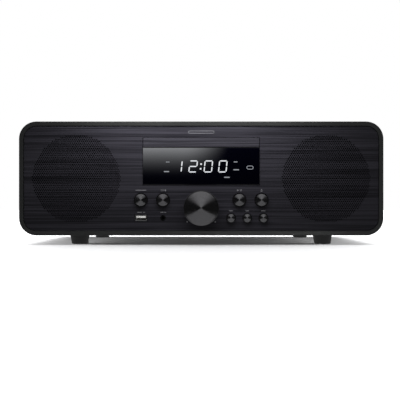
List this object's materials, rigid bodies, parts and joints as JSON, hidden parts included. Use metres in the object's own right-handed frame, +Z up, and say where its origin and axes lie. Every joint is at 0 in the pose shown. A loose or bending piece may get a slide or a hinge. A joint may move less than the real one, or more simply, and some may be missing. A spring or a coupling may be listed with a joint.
{
  "type": "mini_hifi_system",
  "caption": "Mini hifi system in a charcoal wood cabinet, with speakers behind round grilles, CD drawer, clock display, volume knob and round keys",
  "frame": {"origin": "on the floor under the middle of the whole object; +X to the right seen from the front, +Y to the back, +Z up", "axes": "+X is the longest extent, -Y is the front with the controls, +Z is up and the shortest extent"},
  "size_m": [0.42, 0.282, 0.1425],
  "materials": {
    "charcoal_veneer": "satin, fine horizontal grain",
    "panel_veneer": "satin, fine horizontal grain",
    "fibreboard": "raw",
    "spun_dark_metal": "turned, anodised dark",
    "black_plastic": "fine texture",
    "window_black": "polished",
    "display_white": "diffusing",
    "board_green": "solder mask",
    "bright_steel": "plated",
    "steel_sheet": "zinc plated",
    "white_plastic": "smooth",
    "grey_plastic": "smooth",
    "rubber_black": "matt",
    "ferrite": "ground",
    "paper_cone": "pressed",
    "brass_plated": "plated",
    "dark_sheet": "satin black"
  },
  "bodies": {
    "cabinet": {"cabinet_shell": "charcoal_veneer", "feet": "rubber_black", "foot_screws": "steel_sheet", "front_panel": "panel_veneer", "front_baffle": "fibreboard", "speaker_grille_left": "panel_veneer", "speaker_grille_right": "panel_veneer", "chamber_dividers": "fibreboard", "rear_panel": "dark_sheet", "rear_screws": "steel_sheet", "reflex_ports": "black_plastic", "display_window": "window_black", "display_module": "display_white", "display_board": "board_green", "control_board": "board_green", "encoder_body": "steel_sheet", "usb_socket": "bright_steel", "usb_tongue": "white_plastic", "line_in_jack": "black_plastic", "loader_base": "black_plastic", "loader_brackets": "steel_sheet", "loading_motor": "steel_sheet", "loading_belt": "rubber_black", "clamp_bridge": "steel_sheet", "speaker_basket_left": "dark_sheet", "speaker_basket_right": "dark_sheet", "speaker_magnets": "ferrite", "speaker_surrounds": "rubber_black", "speaker_screws": "steel_sheet", "main_board": "board_green", "heat_sink": "spun_dark_metal", "power_board": "board_green", "transformer": "steel_sheet", "mains_inlet": "black_plastic", "mains_pins": "bright_steel", "aerial_socket": "bright_steel", "speaker_leads": "rubber_black"},
    "volume_knob": {"volume_knob": "spun_dark_metal", "encoder_shaft": "bright_steel"},
    "cd_drawer": {"cd_tray": "black_plastic", "tray_front": "panel_veneer"},
    "tray_gear": {"tray_gear": "white_plastic"},
    "pulley_gear": {"pulley_gear": "white_plastic"},
    "motor_pulley": {"motor_pulley": "white_plastic"},
    "traverse": {"traverse_frame": "grey_plastic", "spindle_motor": "steel_sheet", "guide_rods": "bright_steel"},
    "turntable": {"turntable_hub": "black_plastic"},
    "laser_sled": {"laser_sled": "grey_plastic"},
    "feed_gear": {"feed_gear": "white_plastic"},
    "disc_clamp": {"disc_clamp": "white_plastic"},
    "speaker_cone_left": {"speaker_cone_left": "paper_cone"},
    "speaker_cone_right": {"speaker_cone_right": "paper_cone"},
    "button_standby": {"button_standby": "spun_dark_metal"},
    "button_source": {"button_source": "spun_dark_metal"},
    "button_play": {"button_play": "spun_dark_metal"},
    "button_eject": {"button_eject": "spun_dark_metal"},
    "button_info": {"button_info": "spun_dark_metal"},
    "button_menu": {"button_menu": "spun_dark_metal"},
    "button_preset": {"button_preset": "spun_dark_metal"}
  },
  "joints": [
    {"name": "volume_turn", "type": "hinge", "parent": "cabinet", "child": "volume_knob", "pos_m": [0, -0.127, 0.0427], "axis": [0, 1, 0], "continuous": true},
    {"name": "button_standby_press", "type": "slide", "parent": "cabinet", "child": "button_standby", "axis": [0, 1, 0], "range_m": [0, 0.0008], "stiffness_N_per_m": 400},
    {"name": "button_source_press", "type": "slide", "parent": "cabinet", "child": "button_source", "axis": [0, 1, 0], "range_m": [0, 0.0008], "stiffness_N_per_m": 400},
    {"name": "button_play_press", "type": "slide", "parent": "cabinet", "child": "button_play", "axis": [0, 1, 0], "range_m": [0, 0.0008], "stiffness_N_per_m": 400},
    {"name": "button_eject_press", "type": "slide", "parent": "cabinet", "child": "button_eject", "axis": [0, 1, 0], "range_m": [0, 0.0008], "stiffness_N_per_m": 400},
    {"name": "button_info_press", "type": "slide", "parent": "cabinet", "child": "button_info", "axis": [0, 1, 0], "range_m": [0, 0.0008], "stiffness_N_per_m": 400},
    {"name": "button_menu_press", "type": "slide", "parent": "cabinet", "child": "button_menu", "axis": [0, 1, 0], "range_m": [0, 0.0008], "stiffness_N_per_m": 400},
    {"name": "button_preset_press", "type": "slide", "parent": "cabinet", "child": "button_preset", "axis": [0, 1, 0], "range_m": [0, 0.0008], "stiffness_N_per_m": 400},
    {"name": "drawer_slide", "type": "slide", "parent": "cabinet", "child": "cd_drawer", "axis": [0, -1, 0], "range_m": [0, 0.128]},
    {"name": "tray_gear_turn", "type": "hinge", "parent": "cabinet", "child": "tray_gear", "pos_m": [-0.045, -0.099, 0.112], "axis": [0, 0, 1], "range_deg": [0, 733.4]},
    {"name": "pulley_gear_turn", "type": "hinge", "parent": "cabinet", "child": "pulley_gear", "pos_m": [-0.0281, -0.099, 0.106], "axis": [0, 0, 1], "range_deg": [-1833.5, 0]},
    {"name": "motor_pulley_turn", "type": "hinge", "parent": "cabinet", "child": "motor_pulley", "pos_m": [0.008, -0.096, 0.103], "axis": [0, 0, 1], "range_deg": [-6016.9, 0]},
    {"name": "traverse_tilt", "type": "hinge", "parent": "cabinet", "child": "traverse", "pos_m": [0, 0.032, 0.1055], "axis": [1, 0, 0], "range_deg": [0, 4]},
    {"name": "turntable_spin", "type": "hinge", "parent": "traverse", "child": "turntable", "pos_m": [0, -0.06, 0.11], "axis": [0, 0, 1], "continuous": true},
    {"name": "sled_slide", "type": "slide", "parent": "traverse", "child": "laser_sled", "axis": [0, 1, 0], "range_m": [0, 0.034]},
    {"name": "feed_gear_turn", "type": "hinge", "parent": "traverse", "child": "feed_gear", "pos_m": [0.03, -0.016, 0.108], "axis": [0, 0, 1], "range_deg": [-389.7, 0]},
    {"name": "disc_clamp_spin", "type": "hinge", "parent": "cabinet", "child": "disc_clamp", "pos_m": [0, -0.06, 0.124], "axis": [0, 0, 1], "continuous": true},
    {"name": "cone_left_travel", "type": "slide", "parent": "cabinet", "child": "speaker_cone_left", "axis": [0, -1, 0], "range_m": [-0.0015, 0.0015], "stiffness_N_per_m": 1500},
    {"name": "cone_right_travel", "type": "slide", "parent": "cabinet", "child": "speaker_cone_right", "axis": [0, -1, 0], "range_m": [-0.0015, 0.0015], "stiffness_N_per_m": 1500}
  ],
  "couplings": [
    {"joint": "tray_gear_turn", "follows": "drawer_slide", "rad_per_m": 100},
    {"joint": "pulley_gear_turn", "follows": "drawer_slide", "rad_per_m": -250},
    {"joint": "motor_pulley_turn", "follows": "drawer_slide", "rad_per_m": -820.42},
    {"joint": "feed_gear_turn", "follows": "sled_slide", "rad_per_m": -200},
    {"joint": "disc_clamp_spin", "follows": "turntable_spin", "ratio": 1}
  ]
}
